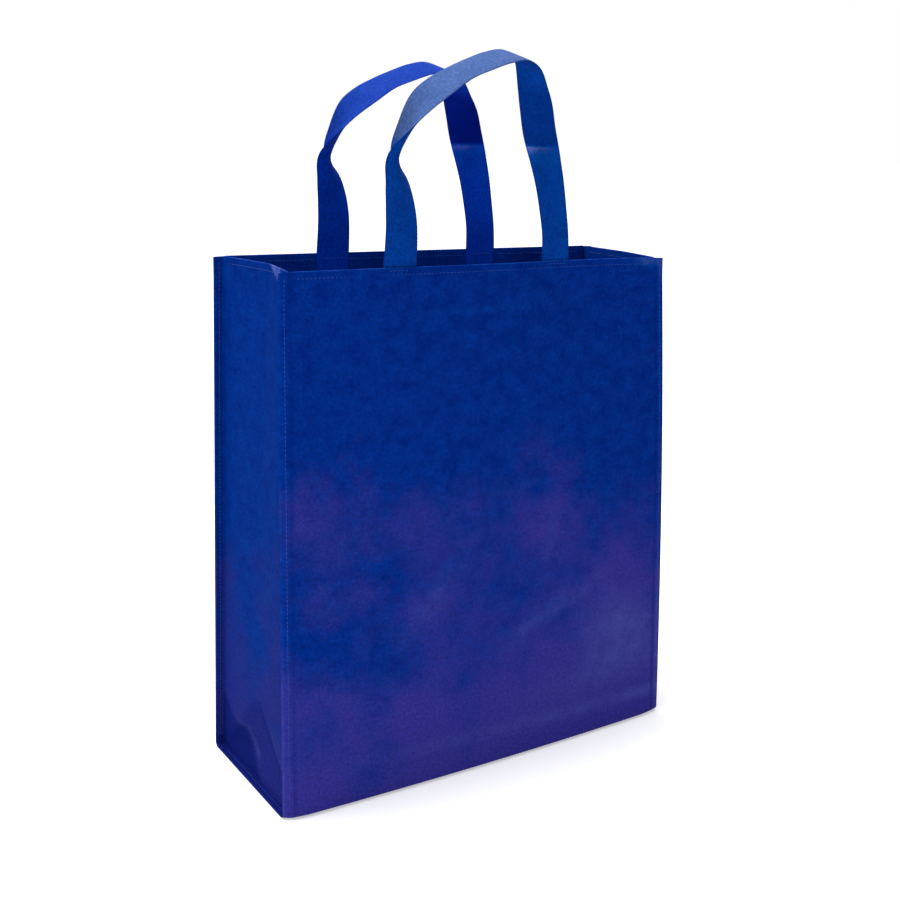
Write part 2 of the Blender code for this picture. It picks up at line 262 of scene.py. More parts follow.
# Rows down a wall, closest at the rim and at the hem's edge: where each stretch ends, and how far
# apart its rows are
WALL_STRETCHES = (
    (FOLD_Z - 0.0024, 0.0006),
    (HEM_EDGE_Z + 0.006, 0.0026),
    (HEM_EDGE_Z - 0.008, 0.0014),
    (0.085, 0.0032),
    (FOOT_Z, 0.0026),
)

# The stretches of the strip's section: turned-in hem, half circle over the top, wall, and base
IN_HEM, IN_TURN, IN_WALL, IN_BASE = range(4)

# Pale patches on the front: a painted highlight along the hem's lower edge under its middle, and
# a paler patch low on the right. Each one's middle in x and z, how far it reaches in x and z, and
# how strong it is
PALE_PATCHES = (
    (-0.010, HEM_EDGE_Z, 0.080, 0.004, 0.16),
    (0.130, 0.085, 0.070, 0.050, 0.26),
)

# Colours, linear
# Pale colours for rubbed cloth and for painted highlights
PALE_FIBRE = (0.130, 0.180, 0.520, 1.0)
PALE_BLUE = (0.004, 0.110, 0.420, 1.0)
# A look's low colour is a painted reflection of the floor towards the foot, its deep colour is the colour
# of painted shade, its pair for the arch is painted light on a tape's arch, paler on the front tape, and
# its paleness scale serves both rubbed wear and painted highlights
PANEL_LOOK = {
    "plain": (0.0003, 0.0170, 0.200, 1.0), "clear": (0.0004, 0.0300, 0.265, 1.0),
    "low": (0.0330, 0.0300, 0.260, 1.0), "deep": (0.0003, 0.0100, 0.120, 1.0), "smooth": None,
    "pitch": 0.0016, "wear_or_highlight": 0.60, "roughness": 0.60, "gloss": 0.006, "sheen": 0.008,
}
GUSSET_LOOK = {
    "plain": (0.0003, 0.0185, 0.190, 1.0), "clear": (0.0004, 0.0300, 0.240, 1.0),
    "low": (0.0150, 0.0200, 0.185, 1.0), "deep": (0.0003, 0.0080, 0.120, 1.0), "smooth": None,
    "pitch": 0.0016, "wear_or_highlight": 0.60, "roughness": 0.62, "gloss": 0.005, "sheen": 0.004,
}
FRONT_TAPE_LOOK = {
    "plain": (0.0003, 0.0360, 0.265, 1.0), "clear": (0.0004, 0.0500, 0.330, 1.0), "low": None,
    "deep": (0.0003, 0.0090, 0.120, 1.0),
    "smooth": ((0.0400, 0.0840, 0.235, 1.0), (0.0580, 0.1040, 0.275, 1.0)),
    "pitch": 0.0013, "wear_or_highlight": 0.85, "roughness": 0.50, "gloss": 0.008, "sheen": 0.01,
}
BACK_TAPE_LOOK = {
    "plain": (0.0003, 0.0280, 0.340, 1.0), "clear": (0.0006, 0.0360, 0.400, 1.0), "low": None,
    "deep": (0.0003, 0.0040, 0.150, 1.0),
    "smooth": ((0.0050, 0.0300, 0.245, 1.0), (0.0080, 0.0380, 0.285, 1.0)),
    "pitch": 0.0013, "wear_or_highlight": 0.50, "roughness": 0.55, "gloss": 0.008, "sheen": 0.01,
}

# The cloth's pattern: noise scales for 1 m, a bond point's sharpness, size and rounding, and the
# usual pitch of the bond points' lattice
FIBRE_SCALE = 2600.0
FLECK_SCALE = 420.0
CLOUD_SCALE = 75.0
BOND_SHARPNESS = 6.0
BOND_SIZE = 2.3
BOND_ROUNDING = 0.3
PLAIN_PITCH = 0.0016

# How much each part of the pattern shades the cloth, and turns it rough
FIBRE_SHADE = 1.5
BOND_SHADE = -0.30
FLECK_SHADE = 0.95
BOND_ROUGHNESS = -0.12
FIBRE_ROUGHNESS = 0.12
FIBRE_RELIEF = 0.9
CLOUD_RELIEF = 2.0
RELIEF_STRENGTH = 0.8
RELIEF_DEPTH = 0.00016
SHEEN_ROUGHNESS = 0.40
SHEEN_TINT = (0.70, 0.88, 1.0, 1.0)

# The web turns from plain to clear between these shares of thickness, and its pale marks, wear and
# painted highlights alike, grow stronger where thick
THICK_WEB = (0.34, 0.66)
PALE_WHERE_THIN = 0.35
PALE_WHERE_THICK = 0.9

# Worn cloth and painted highlights turn pale blue first, and pale fibre where the mark is stronger
FIBRE_SHOWS = 4.0
FIBRE_HOLDS = -1.1

# The ribs in the painted light on a tape's arch: how far apart, how they slant, and how much they lighten
# it
RIB_PITCH = 0.0021
RIB_SLANT = 0.55
RIB_CONTRAST = 0.25

# Where a panel's low colour, a painted reflection of the floor, takes over: at the floor, less for
# each metre up, more for each metre to the right, and how far broad noise shifts it
REFLECTION_AT_FLOOR = 1.12
REFLECTION_BY_HEIGHT = -4.6
REFLECTION_TO_RIGHT = 1.1
REFLECTION_DRIFT = 2.6
BROAD_SCALE = 13.0

# Thread
THREAD_DARK = (0.001, 0.019, 0.18, 1.0)
THREAD_LIGHT = (0.002, 0.044, 0.29, 1.0)
TWIST_SCALE = 3200.0

# Studio. The floor's own light, which only the camera sees, grows with distance from the bag
FLOOR_REACH = 40.0
FLOOR_DROP = 0.0004
FLOOR_DARK = (0.90, 0.90, 0.90, 1.0)
FLOOR_LIGHT = (0.93, 0.93, 0.93, 1.0)
GLOW_DISTANCE = (0.35, 1.6)
GLOW_STRENGTH = (0.30, 1.0)
WORLD_STRENGTH = 0.30
WHITE = (1.0, 1.0, 1.0, 1.0)

# Lamps: name, place, what it faces, width and length, watts
LAMPS = (
    ("top_lamp", (-0.15, 0.25, 1.9), (0.0, 0.0, 0.4), (1.0, 1.0), 46),
    ("left_lamp", (-2.0, 0.3, 0.9), (0.0, 0.0, 0.3), (1.0, 1.0), 11),
    ("front_lamp", (-0.9, -1.4, 0.8), (0.0, 0.0, 0.25), (0.8, 0.8), 11),
)

# The camera, with its angles in degrees: turn round the bag, rise, and tip
CAMERA_PLACE = (-0.496, -0.783, 0.485)
CAMERA_ANGLES = (-32.34, 14.48, 1.44)
CAMERA_LENS = 47.52
CAMERA_SENSOR = 36.0


def smooth_step(value):
    """0 below 0, 1 above 1, and 3v^2 - 2v^3 between."""
    value = np.clip(value, 0.0, 1.0)
    return value * value * (3 - 2 * value)


def bump(distance):
    """1 at 0, falling smoothly to 0 at a distance of 1."""
    return smooth_step(1 - np.abs(distance))


def growing(value, start, reach):
    """0 up to the start, 1 past start + reach, and smooth between."""
    return smooth_step((value - start) / reach)


def fading(value, end, reach):
    """1 up to end - reach, 0 past the end, and smooth between."""
    return smooth_step((end - value) / reach)


def lean_shift(past):
    """How far a leaning flange has moved: its slope grows evenly over the turn, then holds."""
    past = np.maximum(past, 0.0)
    turning = past * past / (2 * FLANGE_LEAN_TURN)
    return np.where(past < FLANGE_LEAN_TURN, turning, past - FLANGE_LEAN_TURN / 2)


def settle(points):
    """The soft standing shape: each corner's lean, shared out by how near a point is to it, plus
    the bulge and ledge of the front and back near the foot, a dent at the top and the flanges' lean."""
    x, y, z = points[..., 0], points[..., 1], points[..., 2]
    across = x / HALF_WIDTH
    deep = y / HALF_DEPTH
    height = np.minimum(z, BAG_HEIGHT)
    rise = height / BAG_HEIGHT
    shift_x = SIDE_BOW * (1 + across) * 2 * rise * (1 - rise)
    shift_y = np.zeros_like(x)
    leaning = lean_shift(np.abs(x) - SEAM_X) * smooth_step((BAG_HEIGHT - height) / FLANGE_LEAN_FADE)
    for (side, face), (foot, top) in CORNER_LEAN.items():
        share = (1 + side * across) * (1 + face * deep) / 4
        shift_x += share * HALF_DEPTH * (foot[0] + (top[0] - foot[0]) * rise)
        shift_y += share * HALF_DEPTH * (foot[1] + (top[1] - foot[1]) * rise)
        own_side = np.where(side * x > 0, (1 + face * deep) / 2, 0.0)
        shift_y -= face * FLANGE_LEAN[side, face] * own_side * leaning
    middle = np.maximum(0.0, 1 - across * across)
    foot_bulge = FOOT_BULGE * middle * smooth_step(1 - height / FOOT_BULGE_HEIGHT)
    below_ledge = (LEDGE_HEIGHT - LEDGE_SLOPE * across - height) / LEDGE_SOFTNESS
    ledge = LEDGE_DEPTH * smooth_step(below_ledge + 0.5) * np.minimum(1.0, middle * LEDGE_FULL)
    dent = TOP_DENT * bump((across - TOP_DENT_MIDDLE) / TOP_DENT_REACH)
    dent = dent * smooth_step(1 - (BAG_HEIGHT - height) / TOP_DENT_HEIGHT)
    front_push = -(foot_bulge + ledge) + dent
    back_push = foot_bulge + ledge
    shift_y += front_push * (1 - deep) / 2 + back_push * (1 + deep) / 2
    return np.stack([x + shift_x, y + shift_y, z], axis=-1)


def crease_mask(x, z):
    """How near the front is to its creases, times how strong each is: a ridge round a line."""
    mask = np.zeros_like(x)
    for start, end, half_width, strength in CREASES:
        from_x = x - start[0] * HALF_WIDTH
        from_z = z - start[1] * BAG_HEIGHT
        run_x = (end[0] - start[0]) * HALF_WIDTH
        run_z = (end[1] - start[1]) * BAG_HEIGHT
        run = np.hypot(run_x, run_z)
        along = (from_x * run_x + from_z * run_z) / run
        aside = (from_x * run_z - from_z * run_x) / run
        mask += strength * bump(aside / half_width) * bump((along - run / 2) / run)
    return mask


def patches(x, z, table):
    """A sum of soft patches, each from its middle's x and z, its reach in x and z, and its amount."""
    total = np.zeros_like(x)
    for middle_x, middle_z, reach_x, reach_z, amount in table:
        total += amount * bump((x - middle_x) / reach_x) * bump((z - middle_z) / reach_z)
    return total


def soft_waves(x, z, phase):
    """Slow waves in a hanging panel: a sum of four slanted sine waves, 50 to 130 mm long."""
    waves = np.zeros_like(x)
    for length, turn, share in PANEL_WAVES:
        along = x * np.cos(turn) + z * np.sin(turn)
        waves += share * np.sin(2 * np.pi * along / length + phase * (1 + turn))
    return waves * WAVE_DEPTH


def seam_puckers(from_seam, along):
    """Small ripples that the stitches draw in beside a seam: a wave along it, of slightly uneven
    length, that dies away from it."""
    fade = np.exp(-np.abs(from_seam) / PUCKER_REACH)
    uneven = PUCKER_UNEVEN * np.sin(2 * np.pi * along / PUCKER_DRIFT)
    return PUCKER_DEPTH * fade * np.sin(2 * np.pi * along / PUCKER_LENGTH + uneven)


def wall_relief(x, z, face):
    """How far the strip's wall stands out from its plain plane: creases on the front only, the
    hem's lower edge showing through, slow waves and puckers beside the seams."""
    inside = np.clip(1 - (np.abs(x) / SEAM_X) ** 6, 0.0, 1.0)
    clear_of_foot = smooth_step((z - FOOT_Z) / CLEAR_OF_FOOT)
    clear_of_fold = smooth_step((FOLD_Z - z) / CLEAR_OF_FOLD)
    clear = clear_of_foot * clear_of_fold
    push = soft_waves(x, z, WAVE_PHASE[face]) * inside * clear
    push += HEM_RIDGE * bump((z - HEM_EDGE_Z) / HEM_RIDGE_REACH) * inside
    push += HEM_RIDGE / 2 * growing(z, HEM_EDGE_Z, HEM_STEP_REACH) * clear_of_fold * inside
    push += seam_puckers(SEAM_X - np.abs(x), z) * clear * (np.abs(x) < SEAM_X)
    if face < 0:
        push += CREASE_DEPTH * crease_mask(x, z) * inside * clear_of_foot
    return push


def gusset_push(y, z, side):
    """How far a gusset stands out: its middle fold, a low belly, and a tuck above the base whose
    two creases run from a peak down to the bottom corners."""
    deep = y / HALF_DEPTH
    end = np.where(deep > FOLD_PLACE, 1.0, -1.0)
    run = (deep - FOLD_PLACE) / (end - FOLD_PLACE)
    rounded = np.sqrt(run * run + FOLD_SOFTNESS ** 2) - FOLD_SOFTNESS
    tent = 1 - rounded / (np.hypot(1, FOLD_SOFTNESS) - FOLD_SOFTNESS)
    rise = smooth_step((z - TUCK_HEIGHT / 2) / (BAG_HEIGHT - TUCK_HEIGHT / 2))
    depth = FOLD_DEPTH[side] * (FOLD_AT_FOOT + (1 - FOLD_AT_FOOT) * rise)
    fold = depth * tent * smooth_step(z / TUCK_HEIGHT)
    middle = np.maximum(0.0, 1 - deep * deep)
    belly = GUSSET_BULGE * middle * smooth_step(z / BULGE_START) * fading(z, BAG_HEIGHT, BULGE_END)
    peak_end = np.where(deep > TUCK_PEAK, 1.0, -1.0)
    peak_run = (deep - TUCK_PEAK) / (peak_end - TUCK_PEAK)
    crease_z = TUCK_HEIGHT * (1 - peak_run)
    tuck = smooth_step((crease_z - z) / TUCK_SOFTNESS + TUCK_LEAD) * smooth_step(z / TUCK_FOOT)
    return fold + belly - GUSSET_TUCK * tuck * np.minimum(1.0, middle * TUCK_FULL)


def steps(first, last, spacing):
    """Evenly spaced values from first to last, no further apart than spacing."""
    count = int(np.ceil(abs(last - first) / spacing))
    return np.linspace(first, last, count + 1)


def wall_heights():
    """Heights of a wall's rows, from the fold along the top down to the foot's curve."""
    rows = np.array([FOLD_Z])
    for end, spacing in WALL_STRETCHES:
        rows = np.concatenate([rows, steps(rows[-1], end, spacing)[1:]])
    return rows


def hem_heights():
    """Heights of a turned-in hem's rows, from its lower edge up to the fold along the top."""
    rows = wall_heights()
    return rows[rows >= HEM_EDGE_Z - LEAST_STEP][::-1]


def foot_arc(inset, first, last, count):
    """The front foot's quarter circle between two shares of its turn: arrays of y and z."""
    turn = np.linspace(first, last, count) * np.pi / 2
    radius = FOOT_RADIUS - inset
    return -(WALL_Y - FOOT_RADIUS) - radius * np.cos(turn), FOOT_Z - radius * np.sin(turn)


def run_along(points):
    """How far each point lies along the path that the points make."""
    return np.concatenate([[0.0], np.cumsum(np.linalg.norm(np.diff(points, axis=0), axis=1))])


def grid_faces(rows, columns, wrap=False):
    """Quads between neighbouring points of a rows by columns grid, joined round if wrap."""
    index = np.arange(rows * columns).reshape(rows, columns)
    if wrap:
        index = np.concatenate([index, index[:, :1]], axis=1)
    return quads(index)


def quads(index):
    """The four corners of each cell of a grid of point numbers."""
    corners = (index[:-1, :-1], index[:-1, 1:], index[1:, 1:], index[1:, :-1])
    return np.stack(corners, axis=-1).reshape(-1, 4)


def new_piece(name, points, faces, material):
    """An object at the origin that rides on the bag, from an array of points and a list of faces."""
    mesh = bpy.data.meshes.new(name)
    mesh.from_pydata(points.reshape(-1, 3).tolist(), [], faces)
    mesh.shade_smooth()
    mesh.materials.append(material)
    piece = bpy.data.objects.new(name, mesh)
    bpy.context.scene.collection.objects.link(piece)
    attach(piece, "root")
    return piece


def make_sheet(name, points, faces, uv, marks, thickness, material):
    """A piece that is one sheet, with its pattern's UV in metres and its marks, which say how
    strong each named effect is at each point. Solidify gives cloth its thickness, half to each
    side."""
    piece = new_piece(name, points, [list(face) for face in faces], material)
    mesh = piece.data
    corners = np.empty(len(mesh.loops), dtype=np.int32)
    mesh.loops.foreach_get("vertex_index", corners)
    layer = mesh.uv_layers.new(name="cut")
    layer.data.foreach_set("uv", uv.reshape(-1, 2)[corners].astype(np.float32).ravel())
    for mark, values in marks.items():
        attribute = mesh.attributes.new(mark, "FLOAT", "POINT")
        attribute.data.foreach_set("value", values.astype(np.float32).ravel())
    if thickness:
        solidify = piece.modifiers.new("Fabric thickness", "SOLIDIFY")
        solidify.thickness = thickness
        solidify.offset = 0.0
        solidify.use_even_offset = True
    return piece


def top_fold(count):
    """The half circle over the top edge: shares of the way in, and heights above the fold."""
    turn = np.linspace(0, np.pi, count + 2)[1:-1]
    return HEM_TURN - HEM_TURN * np.cos(turn), HEM_TURN * np.sin(turn)


def rim_wear_and_highlight(z):
    """Pale wear and a painted highlight along the top edge: a narrow bell round the bag's height."""
    return RIM_WEAR_AND_HIGHLIGHT * np.exp(-((z - BAG_HEIGHT) / RIM_PALE_REACH) ** 2)


def cut_edge_wear(x):
    """Pale fibres along a margin's cut edge, over its last millimetre."""
    return EDGE_WEAR * growing(x, HALF_WIDTH - EDGE_WEAR_REACH, EDGE_WEAR_REACH)


def front_wear_and_painted_light(x, z):
    """How pale (above 0) or deep (below 0) the front's cloth is: pale wear on the creases, paler at
    the top right corner, on the right margin and in the pale patches, with a painted highlight along
    the hem's edge and on the ledge above the base, and painted shade in the valleys beside the seams."""
    corner = growing(x, *FRONT_CORNER_X) * growing(z, *FRONT_CORNER_Z)
    margin = MARGIN_PALE + MARGIN_TOP_PALE * growing(z, *MARGIN_TOP_Z)
    margin = margin * growing(x, SEAM_X, MARGIN_TURN)
    ledge_top = LEDGE_HEIGHT - LEDGE_SLOPE * x / HALF_WIDTH
    wear_or_highlight = CREASE_WEAR * crease_mask(x, z) + np.maximum(FRONT_CORNER_PALE * corner, margin)
    wear_or_highlight += LEDGE_HIGHLIGHT * (1 + x / HALF_WIDTH) * bump((z - ledge_top) / LEDGE_HIGHLIGHT_REACH)
    wear_or_highlight += patches(x, z, PALE_PATCHES)
    valley = bump((np.abs(x) - SEAM_X) / VALLEY_REACH)
    return wear_or_highlight - VALLEY_SHADE * valley * (1 - corner)


def strip_section():
    """The strip's section: up the front's turned-in hem, over the top, down the wall, round the
    foot and half the base, and the same again at the back. Arrays of y and z, and the stretch that
    each row is in."""
    rows = wall_heights()
    hem = hem_heights()
    inward, up = top_fold(TOP_FOLD_ROWS)
    arc_y, arc_z = foot_arc(0.0, first=0.0, last=1.0, count=9)
    half_y = np.concatenate([np.full(len(hem), -(WALL_Y - LAYER_STEP)), (-WALL_Y + inward)[::-1],
                             np.full(len(rows), -WALL_Y), arc_y[1:]])
    half_z = np.concatenate([hem, (FOLD_Z + up)[::-1], rows, arc_z[1:]])
    half_stretch = np.repeat([IN_HEM, IN_TURN, IN_WALL, IN_BASE],
                             [len(hem), len(up), len(rows), len(arc_z) - 1])
    base_y = steps(arc_y[-1], -arc_y[-1], STRIP_BASE)[1:-1]
    y = np.concatenate([half_y, base_y, -half_y[::-1]])
    z = np.concatenate([half_z, np.full(len(base_y), FLOOR_Z), half_z[::-1]])
    stretch = np.concatenate([half_stretch, np.full(len(base_y), IN_BASE), half_stretch[::-1]])
    return y, z, stretch


def make_body_strip(material):
    """Front, base and back in one strip. Its section is carried across the width, a little
    narrower where it is turned in, and each wall is pushed out by its relief."""
    y, z, stretch = strip_section()
    run = run_along(np.stack([y, z], axis=1))
    margin = steps(SEAM_X, HALF_WIDTH, STRIP_MARGIN)[1:]
    x = np.concatenate([-margin[::-1], steps(-SEAM_X, SEAM_X, STRIP_COLUMN), margin])
    taper = SEAM_X - HEM_TAPER
    squeeze = (HEM_TAPER - STRIP_HEM_TRIM) / (HALF_WIDTH - taper)
    narrow = np.sign(x) * np.where(np.abs(x) < taper, np.abs(x), taper + (np.abs(x) - taper) * squeeze)
    turned_in = (stretch < IN_WALL)[:, None]
    is_wall = (stretch == IN_WALL)[:, None]
    grid_x = np.where(turned_in, narrow[None, :], x[None, :])
    grid_y = np.repeat(y[:, None], len(x), axis=1)
    grid_z = np.repeat(z[:, None], len(x), axis=1)
    for face in (-1, 1):
        own_wall = is_wall & (np.sign(y) == face)[:, None]
        grid_y = grid_y + np.where(own_wall, face * wall_relief(grid_x, grid_z, face), 0.0)
    flat = np.stack([grid_x, grid_y, grid_z], axis=-1)
    uv = np.stack([grid_x + HALF_WIDTH, np.repeat(run[:, None], len(x), axis=1)], axis=-1)
    front_wall = is_wall & (y < 0)[:, None]
    # Pale wear, painted highlights and painted shade on the strip
    wear_or_painted_light = rim_wear_and_highlight(grid_z) * (grid_y < -WALL_Y + HEM_TURN) + cut_edge_wear(np.abs(grid_x))
    wear_or_painted_light = np.clip(wear_or_painted_light + np.where(front_wall, front_wear_and_painted_light(grid_x, grid_z), 0.0), -1, 1)
    # Where the front's painted reflection of the floor starts sooner or later
    reflection_shift = np.where(front_wall, patches(grid_x, grid_z, FLOOR_REFLECTION_PATCHES), 0.0)
    piece = make_sheet("body_strip", settle(flat), grid_faces(len(y), len(x)), uv,
                       {"wear_or_painted_light": wear_or_painted_light, "reflection_shift": reflection_shift}, FABRIC, material)
    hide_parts("body_panel")


def side_corner_highlight(deep, z):
    """A painted highlight on the narrow triangle where the left side's rim turns to the front."""
    turned = growing(-deep, *SIDE_CORNER_START) * growing(deep, *SIDE_CORNER_END)
    share = np.maximum(deep + SIDE_CORNER_START[0], -SIDE_CORNER_SHARE)
    pale_z = BAG_HEIGHT + SIDE_CORNER_ABOVE + SIDE_CORNER_DROP * share
    return SIDE_CORNER_HIGHLIGHT * turned * growing(z, pale_z, SIDE_CORNER_EDGE)


def tuck_painted_light(deep, z):
    """The left side's tuck: painted shade just behind its front fold and below a painted highlight on a
    ridge that climbs towards the back, with a little painted light on the low cloth in front of the fold."""
    climb = TUCK_CLIMB * z
    inside = growing(deep - climb, *TUCK_FOLD)
    low = fading(z, *TUCK_SHADE_TOP)
    ridge_z = TUCK_RIDGE_HEIGHT + TUCK_RIDGE_SLOPE * (deep - TUCK_RIDGE_MIDDLE)
    below = inside * fading(z, ridge_z, TUCK_BELOW_EDGE)
    beside = inside * growing(climb - deep, *TUCK_BESIDE) * low
    ridge = bump((z - ridge_z - TUCK_RIDGE_RISE) / TUCK_RIDGE_REACH)
    ridge = ridge * growing(deep, *TUCK_RIDGE_START) * fading(deep, *TUCK_RIDGE_END)
    pale = TUCK_RIDGE_HIGHLIGHT * ridge + TUCK_LIT * (1 - inside) * low
    return pale - TUCK_SHADE * np.maximum(below, beside)


def gusset_wear_and_painted_light(y, z, side):
    """How pale (above 0) or deep (below 0) a gusset's cloth is. Only the left side is marked: pale
    wear and a painted highlight along its rim, a painted highlight at the corner where the rim turns
    to the front, and painted shade and light inside its tuck."""
    if side > 0:
        return np.zeros_like(z)
    deep = y / HALF_DEPTH
    return np.clip(np.maximum(rim_wear_and_highlight(z), side_corner_highlight(deep, z)) + tuck_painted_light(deep, z), -1, 1)


def gusset_wall(side):
    """A gusset's wall as grids of x, y and z, with x counted outwards from the middle, and the
    share of the way across of each column. The lowest row follows the strip's foot curves."""
    rows = wall_heights()
    arc_y, arc_z = foot_arc(LAYER_STEP, first=0.5, last=1.0, count=6)
    base_y = steps(arc_y[-1], -arc_y[-1], GUSSET_COLUMN)
    bottom_y = np.concatenate([arc_y[:-1], base_y, -arc_y[:-1][::-1]])
    bottom_z = np.concatenate([arc_z[:-1], np.full(len(base_y), arc_z[-1]), arc_z[:-1][::-1]])
    edge_y, edge_z = foot_arc(LAYER_STEP, first=0.0, last=0.5, count=5)
    side_y = np.concatenate([np.full(len(rows), WALL_Y - LAYER_STEP), -edge_y[1:]])[:, None]
    side_z = np.concatenate([rows, edge_z[1:]])[:, None]
    corner_y, corner_z = bottom_y[0], bottom_z[0]
    even = np.linspace(-1, 1, len(bottom_y))
    low = smooth_step(1 - (side_z - corner_z) / CORNER_SPREAD)
    share = even + (bottom_y / -corner_y - even) * low
    near_foot = np.maximum(0.0, 1 - (side_z - corner_z) / FOOT_RADIUS)
    z = side_z + (bottom_z - corner_z) * near_foot
    y = side_y * share
    inside = np.clip(1 - share ** 6, 0, 1) * smooth_step(z / GUSSET_WAVE_START)
    x = SEAM_X + gusset_push(y * HALF_DEPTH / side_y, z, side)
    x = x + soft_waves(y, z, GUSSET_WAVE_PHASE * side) * inside
    x[:, [0, -1]] = SEAM_X
    x[-1] = SEAM_X
    return x, y, z, even


def gusset_hem(even, side):
    """A gusset's turned-in hem and the half circle over its top, as grids of x, y and z."""
    hem = hem_heights()
    inward, up = top_fold(TOP_FOLD_ROWS)
    reach_y = WALL_Y - LAYER_STEP
    turned_z = np.concatenate([hem, (FOLD_Z + up)[::-1]])
    turned_in = np.concatenate([np.full(len(hem), LAYER_STEP), inward[::-1]])
    y = np.repeat((reach_y - GUSSET_HEM_TRIM) * even[None, :], len(turned_z), axis=0)
    z = np.repeat(turned_z[:, None], len(even), axis=1)
    x = SEAM_X - turned_in[:, None] + gusset_push(y * HALF_DEPTH / reach_y, z, side)
    return x, y, z


def make_gusset(name, side, node, material):
    """One side wall with its hem. Rows run down the wall and columns across it, and margins run
    outward from the seam's edge on three sides."""
    *wall, even = gusset_wall(side)
    hem = gusset_hem(even, side)
    x, y, z = (np.vstack([turned, plain]) for turned, plain in zip(hem, wall))
    grid = np.stack([side * x, y, z], axis=-1)
    run = run_along(grid[:, len(even) // 2])
    uv = np.stack([y + HALF_DEPTH, np.repeat(run[:, None], len(even), axis=1)], axis=-1)
    # Pale wear, painted highlights and painted shade on the left side
    wear_or_painted_light = gusset_wear_and_painted_light(y, z, side)
    points = grid.reshape(-1, 3)

    index = np.arange(len(points)).reshape(x.shape)
    first = len(hem[0])
    path = np.concatenate([index[first:-1, 0], index[-1, :], index[first:-1, -1][::-1]])
    outward = steps(SEAM_X, HALF_WIDTH, GUSSET_MARGIN)[1:]
    margin = np.repeat(points[path][:, None, :], len(outward), axis=1)
    margin[..., 0] = side * outward
    margin_index = len(points) + np.arange(margin[..., 0].size).reshape(margin.shape[:2])
    band = np.concatenate([path[:, None], margin_index], axis=1)
    faces = np.concatenate([quads(index), quads(band)[:, ::-1]])
    if side > 0:
        faces = faces[:, ::-1]
    across = np.stack([outward - SEAM_X, np.zeros_like(outward)], axis=-1)
    margin_uv = uv.reshape(-1, 2)[path][:, None, :] + across
    margin_wear_or_shade = np.repeat(cut_edge_wear(outward)[None, :], len(path), axis=0)
    # Painted shade on the left side's bottom margin
    if side < 0:
        low = fading(points[path][:, 2], *FOOT_MARGIN_Z)
        margin_wear_or_shade = margin_wear_or_shade - FOOT_MARGIN_SHADE * low[:, None]
    piece = make_sheet(name, settle(np.concatenate([points, margin.reshape(-1, 3)])), faces,
                       np.concatenate([uv.reshape(-1, 2), margin_uv.reshape(-1, 2)]),
                       {"wear_or_painted_light": np.concatenate([wear_or_painted_light.ravel(), margin_wear_or_shade.ravel()])}, FABRIC, material)
    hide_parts(node)


# The loop's route. x is a share of half the leg spacing, y is a lean as a share of the loop's
# height, and z is a share of the loop's height. Then which way the tape's width lies: its turn in
# plan, in degrees from +X, and its slope in degrees. Last, how deep the tape is cupped, as a share
# of its width.
LOOP_STATIONS = (
    (-1.00, 0.00, 0.00, 0, 0, 0.00),
    (-1.00, -0.01, 0.10, 3, 0, 0.00),
    (-1.00, -0.01, 0.20, 7, 3, 0.00),
    (-1.01, 0.00, 0.30, 15, 10, 0.03),
    (-1.05, -0.01, 0.40, 28, 10, 0.12),
    (-1.10, -0.01, 0.51, 55, 8, 0.26),
    (-1.03, -0.07, 0.63, 78, 16, 0.20),
    (-0.91, -0.11, 0.74, 96, 23, 0.08),
    (-0.71, -0.12, 0.82, 107, 20, 0.00),
    (-0.47, -0.10, 0.88, 108, 15, 0.00),
    (-0.21, -0.07, 0.925, 109, 16, 0.00),
    (0.06, -0.04, 0.965, 110, 17, 0.00),
    (0.34, 0.00, 0.985, 110, 17, 0.00),
    (0.57, 0.05, 0.95, 112, 14, 0.00),
    (0.72, 0.10, 0.85, 125, 6, 0.00),
    (0.86, 0.16, 0.75, 139, -7, 0.00),
    (0.94, 0.18, 0.64, 153, -12, 0.00),
    (0.96, 0.13, 0.52, 166, -8, 0.00),
    (0.98, 0.08, 0.39, 175, -3, 0.00),
    (0.99, 0.04, 0.26, 180, -1, 0.00),
    (1.00, 0.01, 0.13, 182, 0, 0.00),
    (1.00, 0.00, 0.00, 180, 0, 0.00),
)


def smooth_route(stations, rows):
    """A smooth curve through the stations (Catmull-Rom), with rows points at even steps."""
    points = np.array(stations, dtype=float)
    padded = np.vstack([2 * points[0] - points[1], points, 2 * points[-1] - points[-2]])
    a, b, c, d = padded[:-3, None], padded[1:-2, None], padded[2:-1, None], padded[3:, None]
    t = np.linspace(0, 1, 48, endpoint=False)[None, :, None]
    square = (2 * a - 5 * b + 4 * c - d) * t ** 2
    cube = (3 * b - a - 3 * c + d) * t ** 3
    dense = 0.5 * (2 * b + (c - a) * t + square + cube)
    dense = np.vstack([dense.reshape(-1, points.shape[1]), points[-1:]])
    run = run_along(dense[:, :3])
    even = np.linspace(0, run[-1], rows)
    return even, np.stack([np.interp(even, run, column) for column in dense.T], axis=1)


